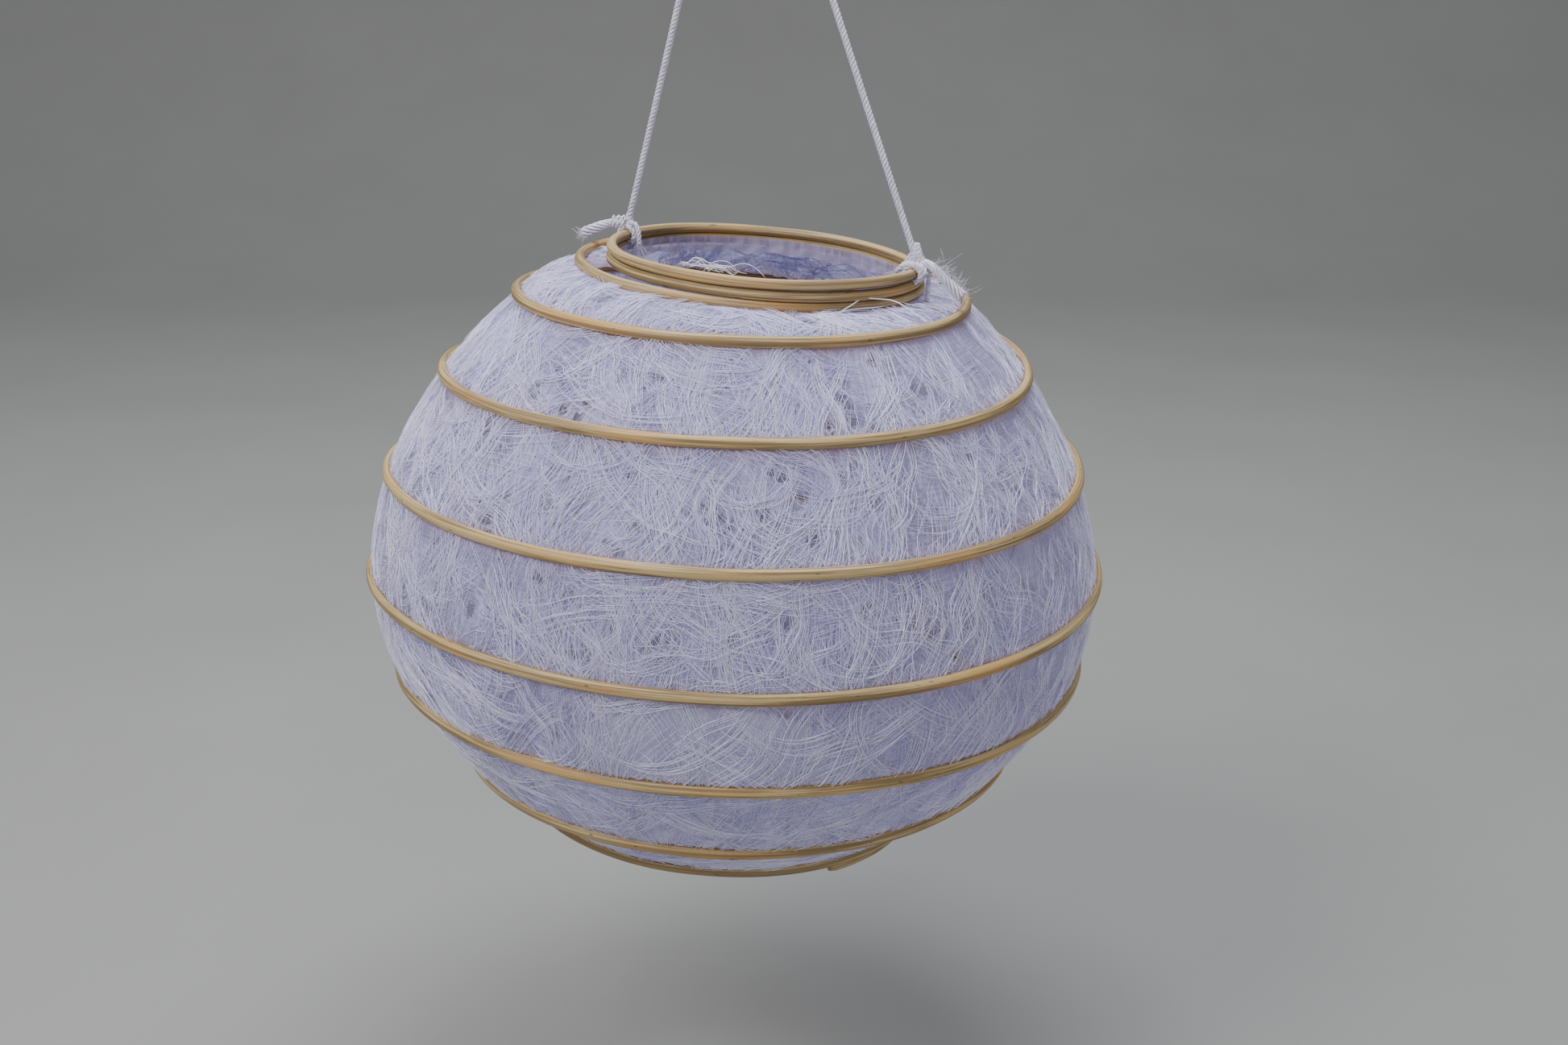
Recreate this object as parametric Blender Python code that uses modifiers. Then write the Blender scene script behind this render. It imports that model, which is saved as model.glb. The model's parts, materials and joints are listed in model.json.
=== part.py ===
"""Hanging spiral lantern: a rattan reed wound as one spiral, a thin cover between its turns, and a cord.

Metres, +Z up. The origin is the point of the cord loop that a hook carries. +X is to the right and
-Y is the front. The reed's place is given by its turn number: turn 0 is at the front of the topmost
winding, and each whole number after it is the next pass at the front, further down.
"""

import bisect
import math

import bmesh
import bpy
from mathutils import Matrix, Vector

COLLECTION = "spiral_lantern"

# The reed spiral. Each row of the outline is a turn number, and the reed's radius and height there
# in the lantern's own frame, which has its origin in the middle of the widest turn.
OUTLINE = (
    (1.93, 0.0502, 0.0970),
    (2.30, 0.0595, 0.0970),
    (3.00, 0.0725, 0.0910),
    (4.00, 0.0955, 0.0670),
    (5.00, 0.1145, 0.0345),
    (6.00, 0.1220, 0.0000),
    (7.00, 0.1160, -0.0320),
    (8.00, 0.0935, -0.0640),
    (8.90, 0.0700, -0.0830),
    (9.90, 0.0670, -0.0870),
)
REED_DIAMETER = 0.0034
WINDING_STEP = 0.0035
MOUTH_OFFSET = 0.0023

# Turn numbers at which the reed starts, leaves the mouth, closes the foot hoop, and ends.
FIRST_TURN = -0.27
LAST_STACKED_TURN = 2.0
FOOT_HOOP_TURN = 8.9
LAST_TURN = 9.9
MOVING_TURNS = range(3, 8)

# The lantern's place under the hook.
LANTERN_TILT = math.radians(4.6)
CENTRE_BELOW_HOOK = Vector((-0.0039, 0.0, -0.2421))

# Cover.
COVER_THICKNESS = 0.0008
COVER_GAP = 0.0012
COVER_BULGE = 0.003
FIRST_COVER_TURN = 1.3
WIDEST_COVER = math.dist(OUTLINE[4][1:], OUTLINE[5][1:])

# Cord and its two hitches.
CORD_DIAMETER = 0.0022
KNOT_TURNS = {"left": 0.311, "right": -0.189}
KNOT_RADII = Vector((0.0045, 0.0027, 0.0027))
KNOT_RISE = 0.0048
KNOT_CORD_GAP = 0.0009
WRAPPED_WINDINGS = {"left": 2, "right": 3}
WRAP_SEGMENTS = 16
WRAP_SQUARENESS = 1.6
TAIL_START = 0.4
TAIL_LENGTHS = {"left": 0.0165, "right": 0.0185}
TAIL_DIRECTIONS = {"left": Vector((-0.93, 0.10, -0.10)), "right": Vector((0.90, 0.10, -0.42))}
CORD_ROUTE = (
    (-0.0325, 0.0163, -0.1050),
    (-0.0247, 0.0124, -0.0750),
    (-0.0183, 0.0092, -0.0500),
    (-0.0131, 0.0066, -0.0300),
    (-0.0095, 0.0046, -0.0155),
    (-0.0063, 0.0024, -0.0050),
    (0.0, 0.0, 0.0011),
    (0.0072, -0.0024, -0.0050),
    (0.0120, -0.0044, -0.0160),
    (0.0176, -0.0064, -0.0310),
    (0.0247, -0.0091, -0.0520),
    (0.0335, -0.0123, -0.0780),
    (0.0437, -0.0160, -0.1080),
)
CORD_POINTS = 76
ROUTE_STEPS = 20

# Meshing, and the gaps that touching pieces keep.
SEGMENTS_PER_TURN = 32
TUBE_RESOLUTION = 2
ARC_STEP = 0.005
GAP = 0.0003
REED_END_GAP = 0.0008


def clear_scene():
    for obj in list(bpy.data.objects):
        bpy.data.objects.remove(obj)


def slope(rows, index, column):
    """The outline's slope at one of its rows, from the rows beside it."""
    before, after = rows[max(index - 1, 0)], rows[min(index + 1, len(rows) - 1)]
    return (after[column] - before[column]) / (after[0] - before[0])


def outline(turn):
    """Radius and height at a turn number, on a smooth curve through the outline's rows."""
    turn = min(max(turn, OUTLINE[0][0]), OUTLINE[-1][0])
    index = max(i for i in range(len(OUTLINE) - 1) if OUTLINE[i][0] <= turn)
    first, last = OUTLINE[index], OUTLINE[index + 1]
    span = last[0] - first[0]
    t = (turn - first[0]) / span
    values = []
    for column in (1, 2):
        start_slope = slope(OUTLINE, index, column) if index else 0.0
        end_slope = slope(OUTLINE, index + 1, column) if index + 2 < len(OUTLINE) else 0.0
        values.append(
            (2 * t**3 - 3 * t**2 + 1) * first[column]
            + (t**3 - 2 * t**2 + t) * span * start_slope
            + (3 * t**2 - 2 * t**3) * last[column]
            + (t**3 - t**2) * span * end_slope
        )
    return values


def smooth(value):
    value = min(max(value, 0.0), 1.0)
    return value * value * (3.0 - 2.0 * value)


def on_lantern(turn, place, stand_off=0.0, rise=0.0):
    """The point of the outline at place, at turn's angle around the lantern, moved out and up."""
    radius, height = outline(place)
    start, end = OUTLINE[0][0], OUTLINE[1][0]
    offset = MOUTH_OFFSET * (1.0 - smooth((place - start) / (end - start)))
    angle = 2.0 * math.pi * turn
    reach = radius + stand_off
    return Vector((offset - reach * math.sin(angle), -reach * math.cos(angle), height + rise))


def reed_point(turn):
    return on_lantern(turn, turn, rise=WINDING_STEP * max(LAST_STACKED_TURN - turn, 0.0))


def arc_rows():
    """(distance down the outline, place) at close steps."""
    rows = [(0.0, OUTLINE[0][0])]
    while rows[-1][1] < OUTLINE[-1][0]:
        place = rows[-1][1] + ARC_STEP
        rows.append((rows[-1][0] + math.dist(outline(rows[-1][1]), outline(place)), place))
    return rows


ARC_ROWS = arc_rows()


def arc_at(place):
    row = min(max(round((place - OUTLINE[0][0]) / ARC_STEP), 0), len(ARC_ROWS) - 1)
    return ARC_ROWS[row][0]


def place_at(arc):
    after = min(max(bisect.bisect(ARC_ROWS, (arc,)), 1), len(ARC_ROWS) - 1)
    low, high = ARC_ROWS[after - 1], ARC_ROWS[after]
    return low[1] + (high[1] - low[1]) * (arc - low[0]) / (high[0] - low[0])


def cover_point(turn, share):
    """A point of the cover between the reed at turn and its next pass, at that share of the way."""
    upper, lower = arc_at(turn), arc_at(turn + 1.0)
    width = lower - upper
    clear = REED_DIAMETER / 2.0 + COVER_GAP
    place = place_at(upper + clear + (width - 2.0 * clear) * share)
    bulge = COVER_BULGE * width / WIDEST_COVER * 4.0 * share * (1.0 - share)
    return on_lantern(turn, place, stand_off=bulge)


def material(name, colour, roughness, alpha=1.0):
    made = bpy.data.materials.new(name)
    made.use_nodes = True
    shader = made.node_tree.nodes["Principled BSDF"]
    shader.inputs["Base Color"].default_value = (*colour, 1.0)
    shader.inputs["Roughness"].default_value = roughness
    shader.inputs["Metallic"].default_value = 0.0
    shader.inputs["Alpha"].default_value = alpha
    return made


def add_object(name, data, surface, parent):
    obj = bpy.data.objects.new(name, data)
    bpy.data.collections[COLLECTION].objects.link(obj)
    data.materials.append(surface)
    obj.parent = parent
    return obj


def tube_data(name, points, diameter):
    """A round tube along the points, as a curve."""
    data = bpy.data.curves.new(name, "CURVE")
    data.dimensions = "3D"
    data.bevel_depth = diameter / 2.0
    data.bevel_resolution = TUBE_RESOLUTION
    data.use_fill_caps = True
    spline = data.splines.new("POLY")
    spline.points.add(len(points) - 1)
    for point, place in zip(spline.points, points):
        point.co = (*place, 1.0)
    spline.use_smooth = True
    return data


def add_tube(name, points, diameter, surface, parent):
    return add_object(name, tube_data(name, points, diameter), surface, parent)


def add_reed(name, first, last, surface, parent):
    """One stretch of the reed. Its end stops short of the next stretch by the gap."""
    trim = REED_END_GAP / 2.0 / (2.0 * math.pi * outline(last)[0])
    first, last = first + trim, last - trim
    count = math.ceil((last - first) * SEGMENTS_PER_TURN)
    points = [reed_point(first + (last - first) * i / count) for i in range(count + 1)]
    return add_tube(name, points, REED_DIAMETER, surface, parent)


def add_cover(name, first, last, surface, parent):
    """One turn of the cover: a grid laid between two passes of the reed, and thickened."""
    trim = GAP / (2.0 * math.pi * outline(last)[0])
    first, last = first + trim, last - trim
    around = math.ceil((last - first) * SEGMENTS_PER_TURN)
    mesh = bpy.data.meshes.new(name)
    grid = bmesh.new()
    bmesh.ops.create_grid(grid, x_segments=around, y_segments=2, size=0.5)
    for vertex in grid.verts:
        turn = first + (last - first) * (vertex.co.x + 0.5)
        vertex.co = cover_point(turn, 0.5 - vertex.co.y)
    bmesh.ops.recalc_face_normals(grid, faces=grid.faces)
    grid.to_mesh(mesh)
    grid.free()
    mesh.shade_smooth()
    obj = add_object(name, mesh, surface, parent)
    shell = obj.modifiers.new("thickness", "SOLIDIFY")
    shell.thickness = COVER_THICKNESS
    shell.offset = 0.0
    return obj


def mesh_of(obj):
    """The object made into a closed mesh, its caps welded."""
    bpy.context.view_layer.update()
    graph = bpy.context.evaluated_depsgraph_get()
    mesh = bpy.data.meshes.new_from_object(obj.evaluated_get(graph))
    weld = bmesh.new()
    weld.from_mesh(mesh)
    bmesh.ops.remove_doubles(weld, verts=weld.verts, dist=1e-6)
    bmesh.ops.recalc_face_normals(weld, faces=weld.faces)
    weld.to_mesh(mesh)
    weld.free()
    made = bpy.data.objects.new(obj.name, mesh)
    bpy.data.collections[COLLECTION].objects.link(made)
    made.matrix_world = obj.matrix_world
    bpy.data.objects.remove(obj)
    return made


def add_cutter(obj):
    """Moves a piece that is only joined into another to the cutters' collection."""
    bpy.data.collections[COLLECTION].objects.unlink(obj)
    bpy.data.collections["cutters"].objects.link(obj)
    obj.hide_render = True
    obj.display_type = "WIRE"
    return obj


def knot_centre(side):
    """The middle of a hitch, on the top of the windings, in the lantern's frame."""
    return reed_point(KNOT_TURNS[side]) + Vector((0.0, 0.0, KNOT_RISE))


def wrap_points(side):
    """The loop that holds the windings: down on one side of them, under them and up on the other."""
    turn = KNOT_TURNS[side]
    top = reed_point(turn)
    bottom = reed_point(turn + WRAPPED_WINDINGS[side] - 1)
    outward = Vector((-math.sin(2.0 * math.pi * turn), -math.cos(2.0 * math.pi * turn), 0.0))
    reach = (REED_DIAMETER + CORD_DIAMETER) / 2.0 + GAP
    middle = (top + bottom) / 2.0
    half = (top - bottom).length / 2.0
    points = []
    for step in range(WRAP_SEGMENTS + 1):
        angle = 2.0 * math.pi * step / WRAP_SEGMENTS + math.pi / 2.0
        along = half * max(min(math.sin(angle) * WRAP_SQUARENESS, 1.0), -1.0)
        across = outward * reach * math.cos(angle)
        points.append(middle + across + Vector((0.0, 0.0, along + reach * math.sin(angle))))
    return points


def add_knot(side, surface, parent):
    """A hitch: a barrel on the line between the two hitches, its loop round the windings, and its tail."""
    centre = knot_centre(side)
    axis = (knot_centre("right") - knot_centre("left")).normalized()
    name = f"cord_knot_{side}"
    mesh = bpy.data.meshes.new(name)
    ball = bmesh.new()
    bmesh.ops.create_uvsphere(ball, u_segments=16, v_segments=10, radius=1.0)
    placed = Matrix.LocRotScale(centre, axis.to_track_quat("X", "Z"), KNOT_RADII)
    bmesh.ops.transform(ball, matrix=placed, verts=ball.verts)
    ball.to_mesh(mesh)
    ball.free()
    mesh.shade_smooth()
    knot = add_object(name, mesh, surface, parent)
    wrap = add_tube(f"{side}_wrap", wrap_points(side), CORD_DIAMETER, surface, parent)
    outer = axis if side == "right" else -axis
    start = centre + outer * KNOT_RADII.x * TAIL_START
    end = start + TAIL_DIRECTIONS[side].normalized() * TAIL_LENGTHS[side]
    tail = add_tube(f"{side}_tail", [start, start.lerp(end, 0.5), end], CORD_DIAMETER, surface, parent)
    for piece in (wrap, tail):
        joined = knot.modifiers.new("join", "BOOLEAN")
        joined.operation = "UNION"
        joined.object = add_cutter(mesh_of(piece))
    return knot


def smooth_route(points, count):
    """Evenly spaced points on a Catmull-Rom curve through the given points."""
    points = [Vector(p) for p in points]
    points = [2 * points[0] - points[1], *points, 2 * points[-1] - points[-2]]
    fine = []
    for a, b, c, d in zip(points, points[1:], points[2:], points[3:]):
        for step in range(ROUTE_STEPS):
            t = step / ROUTE_STEPS
            curved = (2 * a - 5 * b + 4 * c - d) * t**2 + (3 * b - a - 3 * c + d) * t**3
            fine.append((2 * b + (c - a) * t + curved) / 2)
    fine.append(points[-2])
    lengths = [0.0]
    for a, b in zip(fine, fine[1:]):
        lengths.append(lengths[-1] + (b - a).length)
    even = []
    at = 0
    for step in range(count):
        wanted = lengths[-1] * step / (count - 1)
        while at < len(fine) - 2 and lengths[at + 1] < wanted:
            at += 1
        share = (wanted - lengths[at]) / (lengths[at + 1] - lengths[at])
        even.append(fine[at].lerp(fine[at + 1], min(share, 1.0)))
    return even


def main():
    clear_scene()
    for name in (COLLECTION, "cutters"):
        bpy.context.scene.collection.children.link(bpy.data.collections.new(name))
    lantern = bpy.data.objects.new("lantern_axis", None)
    bpy.data.collections[COLLECTION].objects.link(lantern)
    lantern.location = CENTRE_BELOW_HOOK
    lantern.rotation_euler = (0.0, LANTERN_TILT, 0.0)
    bpy.context.view_layer.update()

    rattan = material("rattan_reed", (0.56, 0.40, 0.20), 0.5)
    gauze = material("thread_cover", (0.72, 0.70, 0.84), 0.7, 0.6)
    cord = material("white_cord", (0.85, 0.84, 0.88), 0.75)

    add_reed("mouth_hoop", FIRST_TURN, LAST_STACKED_TURN, rattan, lantern)
    add_reed("coil_1", LAST_STACKED_TURN, MOVING_TURNS[0], rattan, lantern)
    for turn in MOVING_TURNS:
        add_reed(f"coil_{turn - 1}", turn, turn + 1, rattan, lantern)
    add_reed("coil_7", MOVING_TURNS[-1] + 1, FOOT_HOOP_TURN, rattan, lantern)
    add_reed("foot_hoop", FOOT_HOOP_TURN, LAST_TURN, rattan, lantern)

    add_cover("cover_0", FIRST_COVER_TURN, LAST_STACKED_TURN, gauze, lantern)
    for turn in range(2, 8):
        add_cover(f"cover_{turn - 1}", turn, turn + 1, gauze, lantern)
    add_cover("cover_7", 8, FOOT_HOOP_TURN, gauze, lantern)

    ends = []
    for side, nearest in (("left", CORD_ROUTE[0]), ("right", CORD_ROUTE[-1])):
        add_knot(side, cord, lantern)
        centre = lantern.matrix_world @ knot_centre(side)
        towards = (Vector(nearest) - centre).normalized()
        ends.append(centre + towards * (KNOT_RADII.z + KNOT_CORD_GAP))
    route = smooth_route([ends[0], *CORD_ROUTE, ends[1]], CORD_POINTS)
    add_tube("hanging_cord", route, CORD_DIAMETER, cord, None)


main()
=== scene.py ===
"""Looks of the spiral hanging lantern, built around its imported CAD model.

Metres, +Z up, in the CAD model's frame. The lantern's own frame is used for the reed and its cover:
its origin is in the middle of the widest turn, and a place on it is given by a turn number (turn 0 is
at the front of the topmost winding) and, on the cover, by the share of the way from one pass of the
reed to the next.
"""

import json
import math

import bpy
import numpy as np
from mathutils import Matrix, Vector
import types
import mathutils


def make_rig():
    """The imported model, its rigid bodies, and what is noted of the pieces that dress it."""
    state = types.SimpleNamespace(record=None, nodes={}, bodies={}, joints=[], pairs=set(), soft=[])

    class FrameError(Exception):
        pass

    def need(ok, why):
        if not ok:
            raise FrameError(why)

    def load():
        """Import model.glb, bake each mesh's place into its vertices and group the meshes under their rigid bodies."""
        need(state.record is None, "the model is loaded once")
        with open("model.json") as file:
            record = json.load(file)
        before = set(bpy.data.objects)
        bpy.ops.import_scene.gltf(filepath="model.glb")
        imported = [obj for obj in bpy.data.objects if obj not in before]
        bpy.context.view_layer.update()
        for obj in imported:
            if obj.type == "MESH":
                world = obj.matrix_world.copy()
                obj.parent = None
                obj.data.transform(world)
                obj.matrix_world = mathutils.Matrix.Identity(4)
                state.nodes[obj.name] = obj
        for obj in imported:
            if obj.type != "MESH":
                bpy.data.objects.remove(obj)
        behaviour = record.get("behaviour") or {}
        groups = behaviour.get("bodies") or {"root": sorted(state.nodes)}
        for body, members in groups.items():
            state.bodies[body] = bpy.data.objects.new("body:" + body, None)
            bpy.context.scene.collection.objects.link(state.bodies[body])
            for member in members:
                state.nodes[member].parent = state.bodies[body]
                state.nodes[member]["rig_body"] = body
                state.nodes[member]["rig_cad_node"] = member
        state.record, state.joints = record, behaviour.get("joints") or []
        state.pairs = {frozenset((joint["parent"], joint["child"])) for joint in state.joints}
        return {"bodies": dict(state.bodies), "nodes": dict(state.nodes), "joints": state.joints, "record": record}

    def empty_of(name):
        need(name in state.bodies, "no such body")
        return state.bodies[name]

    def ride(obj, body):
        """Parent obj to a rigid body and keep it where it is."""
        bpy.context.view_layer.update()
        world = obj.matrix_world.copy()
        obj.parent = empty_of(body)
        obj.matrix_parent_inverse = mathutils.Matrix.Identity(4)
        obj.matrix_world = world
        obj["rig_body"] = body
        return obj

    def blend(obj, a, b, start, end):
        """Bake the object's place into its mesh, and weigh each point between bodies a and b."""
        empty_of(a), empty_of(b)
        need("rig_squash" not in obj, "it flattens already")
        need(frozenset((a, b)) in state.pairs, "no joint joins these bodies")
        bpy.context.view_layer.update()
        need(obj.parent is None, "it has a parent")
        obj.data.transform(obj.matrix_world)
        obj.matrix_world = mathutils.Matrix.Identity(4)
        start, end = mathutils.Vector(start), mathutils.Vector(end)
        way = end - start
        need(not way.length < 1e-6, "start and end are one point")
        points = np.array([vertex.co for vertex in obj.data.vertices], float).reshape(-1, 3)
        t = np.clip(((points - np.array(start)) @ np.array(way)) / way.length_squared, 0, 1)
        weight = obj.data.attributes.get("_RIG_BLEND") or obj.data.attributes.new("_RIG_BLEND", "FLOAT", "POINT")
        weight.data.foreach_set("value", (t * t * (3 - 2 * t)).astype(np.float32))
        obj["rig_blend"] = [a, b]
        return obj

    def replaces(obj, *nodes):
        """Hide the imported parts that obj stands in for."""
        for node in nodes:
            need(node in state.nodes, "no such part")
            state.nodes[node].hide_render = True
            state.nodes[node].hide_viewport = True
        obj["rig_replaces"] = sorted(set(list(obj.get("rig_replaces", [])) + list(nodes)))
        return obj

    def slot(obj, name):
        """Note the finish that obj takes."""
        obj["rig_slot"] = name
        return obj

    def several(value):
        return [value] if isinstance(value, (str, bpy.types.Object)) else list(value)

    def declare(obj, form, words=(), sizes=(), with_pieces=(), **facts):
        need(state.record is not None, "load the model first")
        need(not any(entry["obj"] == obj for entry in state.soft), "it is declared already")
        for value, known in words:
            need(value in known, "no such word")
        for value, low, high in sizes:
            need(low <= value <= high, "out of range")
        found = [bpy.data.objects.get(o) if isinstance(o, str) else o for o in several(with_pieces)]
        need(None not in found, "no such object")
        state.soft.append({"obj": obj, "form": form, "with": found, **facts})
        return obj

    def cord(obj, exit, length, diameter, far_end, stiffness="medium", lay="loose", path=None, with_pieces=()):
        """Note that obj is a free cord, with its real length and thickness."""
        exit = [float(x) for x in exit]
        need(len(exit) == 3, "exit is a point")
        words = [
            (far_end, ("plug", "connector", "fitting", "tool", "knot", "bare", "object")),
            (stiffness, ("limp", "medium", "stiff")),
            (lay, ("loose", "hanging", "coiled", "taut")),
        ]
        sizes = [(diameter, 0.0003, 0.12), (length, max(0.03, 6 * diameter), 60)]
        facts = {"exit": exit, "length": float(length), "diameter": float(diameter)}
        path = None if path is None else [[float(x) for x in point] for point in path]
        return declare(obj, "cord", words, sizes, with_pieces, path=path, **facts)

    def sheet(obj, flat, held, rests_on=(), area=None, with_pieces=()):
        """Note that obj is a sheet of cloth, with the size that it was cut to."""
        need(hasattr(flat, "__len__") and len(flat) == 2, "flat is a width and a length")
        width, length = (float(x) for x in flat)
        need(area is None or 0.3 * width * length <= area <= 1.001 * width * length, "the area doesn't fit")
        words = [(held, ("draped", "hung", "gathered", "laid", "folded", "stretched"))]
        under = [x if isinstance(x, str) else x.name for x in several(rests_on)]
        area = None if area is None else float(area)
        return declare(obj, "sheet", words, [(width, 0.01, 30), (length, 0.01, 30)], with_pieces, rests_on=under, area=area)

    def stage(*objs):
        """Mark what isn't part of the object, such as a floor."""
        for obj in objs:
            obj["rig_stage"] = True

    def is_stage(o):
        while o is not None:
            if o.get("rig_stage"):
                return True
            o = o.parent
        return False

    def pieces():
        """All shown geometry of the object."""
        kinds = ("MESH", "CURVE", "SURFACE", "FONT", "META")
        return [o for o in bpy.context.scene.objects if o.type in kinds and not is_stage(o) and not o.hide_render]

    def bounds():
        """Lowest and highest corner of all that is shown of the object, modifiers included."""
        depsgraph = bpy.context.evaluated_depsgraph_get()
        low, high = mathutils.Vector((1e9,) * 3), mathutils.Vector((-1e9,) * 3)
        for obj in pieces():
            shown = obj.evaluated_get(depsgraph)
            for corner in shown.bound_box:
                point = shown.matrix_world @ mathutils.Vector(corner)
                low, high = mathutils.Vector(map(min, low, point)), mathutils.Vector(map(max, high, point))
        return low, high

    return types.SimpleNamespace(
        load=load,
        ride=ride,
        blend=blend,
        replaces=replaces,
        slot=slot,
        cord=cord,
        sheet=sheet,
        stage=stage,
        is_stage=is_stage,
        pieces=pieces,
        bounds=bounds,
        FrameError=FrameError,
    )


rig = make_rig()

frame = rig.load()
CAD_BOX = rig.bounds()

# The reed spiral, as the CAD has it: turn number, radius and height.
OUTLINE = (
    (1.93, 0.0502, 0.0970),
    (2.30, 0.0595, 0.0970),
    (3.00, 0.0725, 0.0910),
    (4.00, 0.0955, 0.0670),
    (5.00, 0.1145, 0.0345),
    (6.00, 0.1220, 0.0000),
    (7.00, 0.1160, -0.0320),
    (8.00, 0.0935, -0.0640),
    (8.90, 0.0700, -0.0830),
    (9.90, 0.0670, -0.0870),
)
TOP_HEIGHT = OUTLINE[0][2]
FOOT_HEIGHT = OUTLINE[-1][2]
REED_DIAMETER = 0.0034
WINDING_STEP = 0.0035
MOUTH_OFFSET = 0.0023
FIRST_TURN = -0.27
LAST_STACKED_TURN = 2.0
FOOT_HOOP_TURN = 8.9
LAST_TURN = 9.9
FIRST_COVER_TURN = 1.25
WIDEST_COVER = math.dist(OUTLINE[4][1:], OUTLINE[5][1:])
REED_RADIUS = REED_DIAMETER / 2.0

# The lantern's place under the hook, and the cord.
LANTERN_PLACE = Vector((-0.0039, 0.0, -0.2421))
LANTERN_LEAN = math.radians(4.6)
LANTERN = Matrix.LocRotScale(LANTERN_PLACE, Matrix.Rotation(LANTERN_LEAN, 3, "Y"), None)
CORD_DIAMETER = 0.0022
KNOT_TURNS = {"left": 0.311, "right": -0.189}
KNOT_RISE = 0.0048
CORD_ROUTE = (
    (-0.0325, 0.0163, -0.1050),
    (-0.0247, 0.0124, -0.0750),
    (-0.0183, 0.0092, -0.0500),
    (-0.0131, 0.0066, -0.0300),
    (-0.0095, 0.0046, -0.0155),
    (-0.0063, 0.0024, -0.0050),
    (0.0, 0.0, 0.0011),
    (0.0072, -0.0024, -0.0050),
    (0.0120, -0.0044, -0.0160),
    (0.0176, -0.0064, -0.0310),
    (0.0247, -0.0091, -0.0520),
    (0.0335, -0.0123, -0.0780),
    (0.0437, -0.0160, -0.1080),
)

# The cover: how far it stands out between two passes of the reed, and how far it lies behind them.
GAUZE_BULGE = {"web": -0.0004, "hair": -0.0010}
GAUZE_TUCK = 0.0010
HOLE_CLUSTERS = 460
HOLE_RADII = (0.0008, 0.0022)
HOLE_REACH = {"threads": 2.6, "gauze": 1.35}
LAST_HOLE_TURN = 5.4
THREAD_WIDTH = 0.00016

# The reed is a little taller than it is thick where it carries the cover.
REED_HEIGHT_SHARE = 1.14

# The most triangles in one piece of threads. A piece with more triangles than this
# would be thinned out when it is exported.
MOST_TRIANGLES = 190_000

FULL_PHASE = 6.28
RNG = np.random.default_rng(11)


# ---------------------------------------------------------------- shapes of the lantern


def slope(rows, index, column):
    """How fast a column changes with the turn number at a row, from the rows on each side."""
    before, after = rows[max(index - 1, 0)], rows[min(index + 1, len(rows) - 1)]
    return (after[column] - before[column]) / (after[0] - before[0])


def outline(turn):
    """Radius and height at a turn number, on a smooth curve through the outline's rows."""
    turn = min(max(turn, OUTLINE[0][0]), OUTLINE[-1][0])
    index = max(i for i in range(len(OUTLINE) - 1) if OUTLINE[i][0] <= turn)
    first, last = OUTLINE[index], OUTLINE[index + 1]
    span = last[0] - first[0]
    t = (turn - first[0]) / span
    values = []
    for column in (1, 2):
        start_slope = slope(OUTLINE, index, column) if index else 0.0
        end_slope = slope(OUTLINE, index + 1, column) if index + 2 < len(OUTLINE) else 0.0
        values.append(
            (2 * t**3 - 3 * t**2 + 1) * first[column]
            + (t**3 - 2 * t**2 + t) * span * start_slope
            + (3 * t**2 - 2 * t**3) * last[column]
            + (t**3 - t**2) * span * end_slope
        )
    return values


PLACES = np.linspace(OUTLINE[0][0], OUTLINE[-1][0], 1600)
RADII, HEIGHTS = np.array([outline(place) for place in PLACES]).T
ARCS = np.concatenate([[0.0], np.cumsum(np.hypot(np.diff(RADII), np.diff(HEIGHTS)))])


def smooth(value):
    """An even step from 0 to 1."""
    value = np.clip(value, 0.0, 1.0)
    return value * value * (3.0 - 2.0 * value)


def radius_at(place):
    """The outline's radius at a turn number."""
    return np.interp(place, PLACES, RADII)


def arc_at(place):
    """The distance down the outline to a turn number."""
    return np.interp(place, PLACES, ARCS)


def strip_width(turn):
    """The cover's width from one pass of the reed to the next."""
    return arc_at(np.asarray(turn) + 1.0) - arc_at(turn)


def on_lantern(turn, place, out=0.0, up=0.0):
    """Points of the outline at place, at turn's angle around the lantern, moved out and up."""
    radius = radius_at(place) + out
    height = np.interp(place, PLACES, HEIGHTS) + up
    start, end = OUTLINE[0][0], OUTLINE[1][0]
    offset = MOUTH_OFFSET * (1.0 - smooth((place - start) / (end - start)))
    angle = 2.0 * np.pi * turn
    return np.stack([offset - radius * np.sin(angle), -radius * np.cos(angle), height], axis=-1)


def stacked_rise(turn):
    """How far the mouth's windings, stacked on one another, stand above the outline."""
    return WINDING_STEP * np.maximum(LAST_STACKED_TURN - turn, 0.0)


def reed_points(turn):
    """The middle of the reed at a turn number."""
    return on_lantern(turn, turn, up=stacked_rise(turn))


def web_share(turn):
    """Where the cover is an open web, 1, and where it is long loose hairs, 0."""
    around = np.mod(turn, 1.0)
    from_front = np.abs(np.mod(around + 0.43, 1.0) - 0.5)
    from_back = np.abs(around - 0.50)
    front = smooth((0.225 - from_front) / 0.10)
    back = 0.8 * smooth((0.13 - from_back) / 0.10)
    return np.maximum(front, back)


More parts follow.
